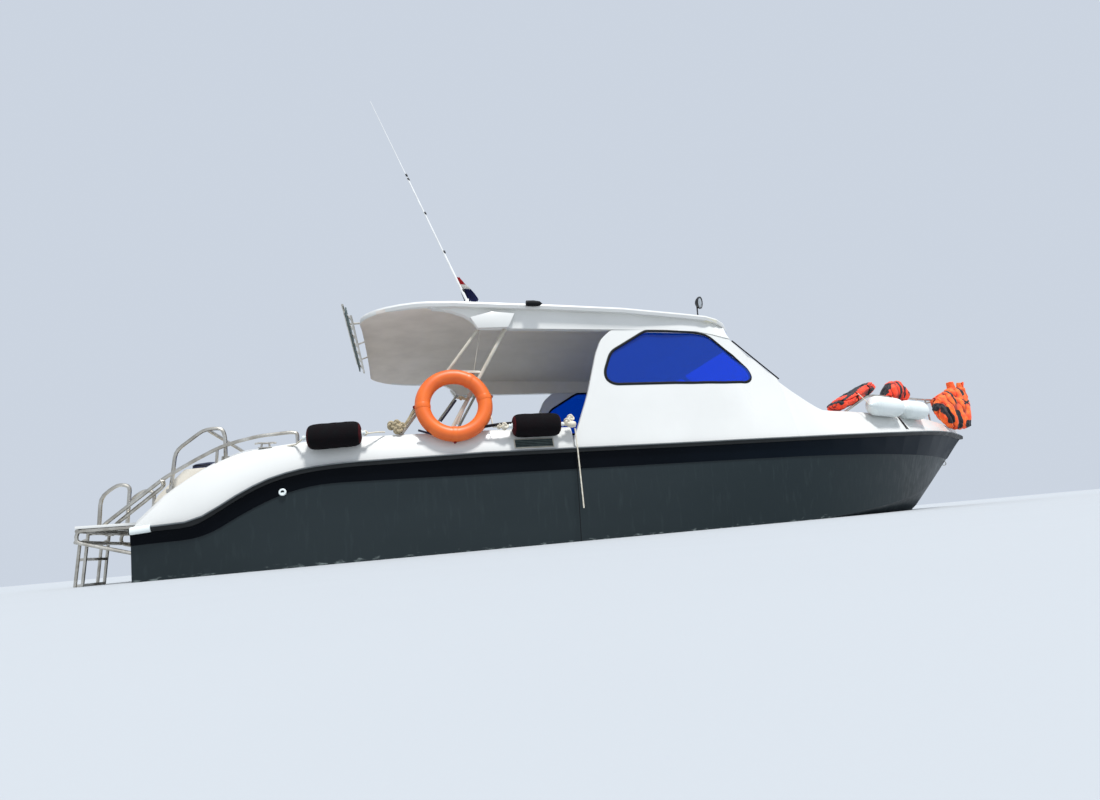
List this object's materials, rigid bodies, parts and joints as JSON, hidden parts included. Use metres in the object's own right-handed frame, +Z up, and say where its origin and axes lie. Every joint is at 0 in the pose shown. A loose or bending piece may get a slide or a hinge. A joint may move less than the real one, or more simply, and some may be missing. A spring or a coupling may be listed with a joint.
{
  "type": "cabin passenger speedboat",
  "caption": "Open-backed passenger speedboat with a hardtop cabin, stern steps and platform, rails, life ring and fenders, afloat at its waterline.",
  "frame": {"origin": "amidships on the centreline, in the plane of the waterline", "axes": "+X to the bow, +Y to port, +Z up; the plane Z = 0 is the waterline"},
  "size_m": [10.842, 3.0769, 5.705],
  "materials": {
    "hull_paint": "satin",
    "band_paint": "gloss",
    "gelcoat": "gloss",
    "liner": "satin",
    "rail_rubber": "matte",
    "stainless": "polished",
    "white_tube": "gloss",
    "blue_glass": "gloss",
    "orange_shell": "satin",
    "jacket_cloth": "matte",
    "fender_cover": "matte",
    "fender_vinyl": "satin",
    "navy_vinyl": "satin",
    "black_plastic": "matte",
    "whip": "satin",
    "bronze": "satin",
    "engine_paint": "painted",
    "rope": "matte",
    "flag_cloth": "matte"
  },
  "bodies": {
    "boat": {"hull": "hull_paint", "sheer_band": "band_paint", "rub_rail": "rail_rubber", "sole": "liner", "gunwale_port": "gelcoat", "gunwale_starboard": "gelcoat", "cabin_side_port": "gelcoat", "cabin_side_starboard": "gelcoat", "side_window_port": "blue_glass", "side_window_starboard": "blue_glass", "foredeck": "gelcoat", "windscreen_frame": "gelcoat", "windscreen_pane_port": "blue_glass", "windscreen_pane_starboard": "blue_glass", "hardtop": "gelcoat", "stern_moulding": "liner", "stern_cushion": "navy_vinyl", "bolster": "navy_vinyl", "platform_frame": "stainless", "platform_deck": "gelcoat", "stair_rail_starboard": "stainless", "stair_rail_port": "stainless", "stern_arch": "stainless", "strut_frame_starboard": "white_tube", "strut_frame_port": "white_tube", "life_ring": "orange_shell", "fender_dark_aft": "fender_cover", "fender_dark_forward": "fender_cover", "fender_white_aft": "fender_vinyl", "fender_white_forward": "fender_vinyl", "life_jacket_aft": "jacket_cloth", "life_jacket_middle": "jacket_cloth", "life_jacket_bow": "jacket_cloth", "bow_rail": "stainless", "bow_cleat": "stainless", "antenna_base": "white_tube", "nav_light_starboard": "black_plastic", "nav_light_port": "black_plastic", "spotlight": "black_plastic", "rod_rack": "stainless", "helm_console": "liner", "helm_seat": "liner", "helm_cushion": "navy_vinyl", "bench_starboard": "liner", "bench_port": "liner", "bench_cushion_starboard": "navy_vinyl", "bench_cushion_port": "navy_vinyl", "engine_block": "engine_paint", "shaft_bracket": "bronze", "rope_knot": "rope", "hanging_rope": "rope"},
    "locker_lid": {"locker_lid": "gelcoat"},
    "boarding_ladder": {"boarding_ladder": "stainless"},
    "antenna": {"antenna_whip": "whip", "flag": "flag_cloth"},
    "steering_wheel": {"steering_wheel": "black_plastic"},
    "engine_box": {"engine_box": "gelcoat"},
    "propeller": {"propeller": "bronze"},
    "rudder": {"rudder": "bronze"}
  },
  "joints": [
    {"name": "ladder_hinge", "type": "hinge", "parent": "boat", "child": "boarding_ladder", "pos_m": [-5.618, -0.65, 0.436], "axis": [0, 1, 0], "range_deg": [0, 180]},
    {"name": "antenna_hinge", "type": "hinge", "parent": "boat", "child": "antenna", "pos_m": [-2.324, -1.15, 2.51262], "axis": [0, 1, 0], "range_deg": [-65, 22]},
    {"name": "propeller_shaft", "type": "hinge", "parent": "boat", "child": "propeller", "pos_m": [-2.88, 0, -0.235], "axis": [-0.9681, 0, -0.2504], "continuous": true},
    {"name": "rudder_stock", "type": "hinge", "parent": "boat", "child": "rudder", "pos_m": [-4.79, 0, -0.5], "axis": [0, 0, 1], "range_deg": [-35, 35]},
    {"name": "wheel_column", "type": "hinge", "parent": "boat", "child": "steering_wheel", "pos_m": [0.455, -0.75, 0.985], "axis": [-0.8609, 0, 0.5087], "range_deg": [-540, 540]},
    {"name": "engine_box_hinge", "type": "hinge", "parent": "boat", "child": "engine_box", "pos_m": [-1.4, 0, 0.3605], "axis": [0, 1, 0], "range_deg": [0, 70]},
    {"name": "locker_hinge", "type": "hinge", "parent": "boat", "child": "locker_lid", "pos_m": [3.084, 0, 1.2685], "axis": [0, 1, 0], "range_deg": [0, 95]}
  ],
  "couplings": [
    {"joint": "wheel_column", "follows": "rudder_stock", "ratio": 15.4}
  ]
}
